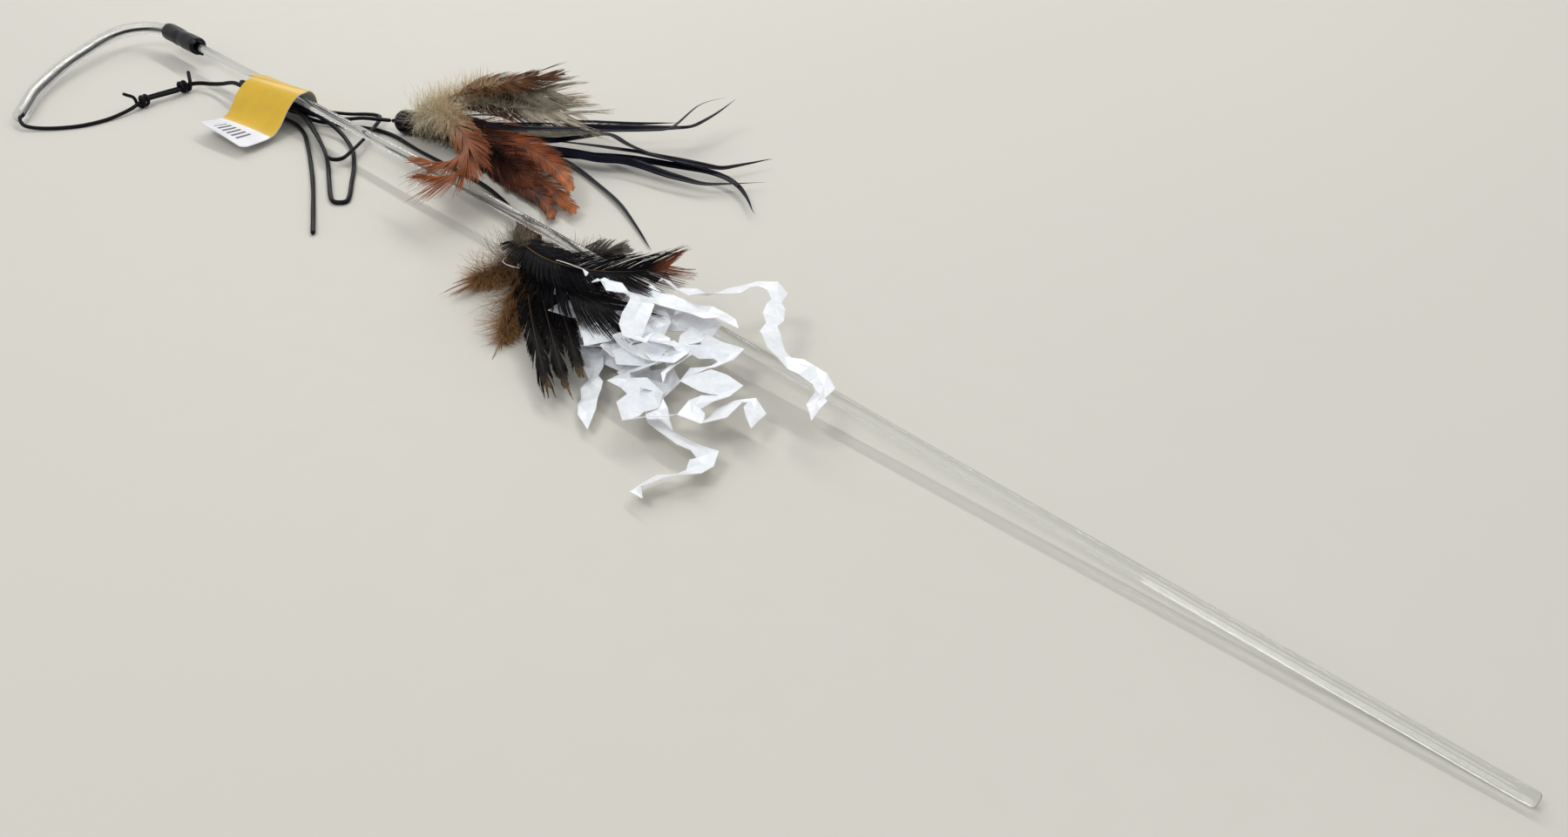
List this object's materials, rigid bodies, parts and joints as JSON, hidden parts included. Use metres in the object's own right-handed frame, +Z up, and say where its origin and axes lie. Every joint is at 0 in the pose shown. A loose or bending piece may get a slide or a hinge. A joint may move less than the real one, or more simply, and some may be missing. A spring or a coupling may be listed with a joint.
{
  "type": "feather cat teaser wand",
  "caption": "Cat teaser wand lying flat: clear rod, curled flexible tip tube, elastic, coiled black line with a folded tag, and two capped feather and streamer lures.",
  "frame": {"origin": "middle of the base of the box of the wand and its lures as they lie on the table, with the free cords left out", "axes": "+X runs along the rod from the curled tip towards the butt, +Y away from the side that is seen nearest, +Z up from the table"},
  "size_m": [0.8622, 0.2759, 0.0449],
  "materials": {
    "clear_acrylic": "clear, polished",
    "clear_vinyl": "clear, slightly cloudy, flexible",
    "black_rubber": "satin shrink sleeve",
    "black_elastic": "fine braided elastic",
    "black_lace": "waxed, glossy",
    "yellow_card": "semi-gloss coated card",
    "black_plastic": "high gloss",
    "amber_glue": "hardened glue",
    "black_feather": "glossy feather vane",
    "brown_feather": "soft barred feather vane",
    "rust_feather": "glossy hackle",
    "tan_feather": "soft feather vane",
    "grey_feather": "downy feather",
    "white_strip": "shiny crinkled ribbon"
  },
  "bodies": {
    "wand": {"rod": "clear_acrylic", "joint_sleeve": "black_rubber", "flexible_tip_tube": "clear_vinyl", "elastic_in_tube": "black_elastic", "elastic_cord": "black_elastic", "knot_elastic_on_line": "black_elastic", "knot_line_on_elastic": "black_lace", "main_line": "black_lace", "second_line": "black_lace", "hang_tag_back": "yellow_card"},
    "tag_flap": {"hang_tag_front": "yellow_card"},
    "lure_1": {"lure_1_cap": "black_plastic", "lure_1_quill_glue": "amber_glue", "lure_1_stopper_knot": "black_lace", "lure_1_streamer_low": "black_feather", "lure_1_streamer_near_tip": "black_feather", "lure_1_streamer_broad": "black_feather", "lure_1_streamer_centre": "black_feather", "lure_1_streamer_split": "black_feather", "lure_1_streamer_straight": "black_feather", "lure_1_streamer_rise_long": "black_feather", "lure_1_streamer_rise_short": "black_feather", "lure_1_feather_grey_far": "grey_feather", "lure_1_feather_hackle_near": "brown_feather", "lure_1_feather_hackle_long": "brown_feather", "lure_1_feather_rust_near": "rust_feather", "lure_1_feather_black_near": "black_feather", "lure_1_feather_grey_barred": "grey_feather", "lure_1_feather_tan_low": "tan_feather", "lure_1_feather_rust_curl": "rust_feather", "lure_1_feather_rust_sweep": "rust_feather", "lure_1_feather_tan_round": "tan_feather", "lure_1_feather_brown_tall": "brown_feather", "lure_1_feather_brown_top": "brown_feather"},
    "lure_2": {"lure_2_cap": "black_plastic", "lure_2_quill_glue": "amber_glue", "lure_2_stopper_knot": "black_lace", "lure_2_feather_grey_far": "grey_feather", "lure_2_feather_brown_down": "brown_feather", "lure_2_feather_short_near": "brown_feather", "lure_2_feather_black_long": "black_feather", "lure_2_feather_black_outer": "black_feather", "lure_2_feather_tan_tipped": "tan_feather", "lure_2_feather_rust_centre": "rust_feather", "lure_2_feather_black_small": "black_feather", "lure_2_feather_black_right": "black_feather", "lure_2_strip_left": "white_strip", "lure_2_strip_low": "white_strip", "lure_2_strip_tail": "white_strip", "lure_2_strip_centre": "white_strip", "lure_2_strip_right": "white_strip", "lure_2_strip_fold": "white_strip", "lure_2_strip_heap": "white_strip", "lure_2_strip_bridge": "white_strip", "lure_2_strip_crossing": "white_strip", "lure_2_strip_knotted": "white_strip"}
  },
  "joints": [
    {"name": "lure_1_lift", "type": "hinge", "parent": "wand", "child": "lure_1", "pos_m": [-0.19804, 0.00513, 0.0065], "axis": [0.5446, -0.8387, 0], "range_deg": [0, 75]},
    {"name": "lure_2_swing", "type": "hinge", "parent": "wand", "child": "lure_2", "pos_m": [-0.04329, -0.01866, 0.0055], "axis": [0, 0, -1], "range_deg": [0, 25]},
    {"name": "tag_fold", "type": "hinge", "parent": "wand", "child": "tag_flap", "pos_m": [-0.27995, -0.03251, 0.0193], "axis": [-0.9525, -0.302, 0.0395], "range_deg": [0, 70]}
  ]
}
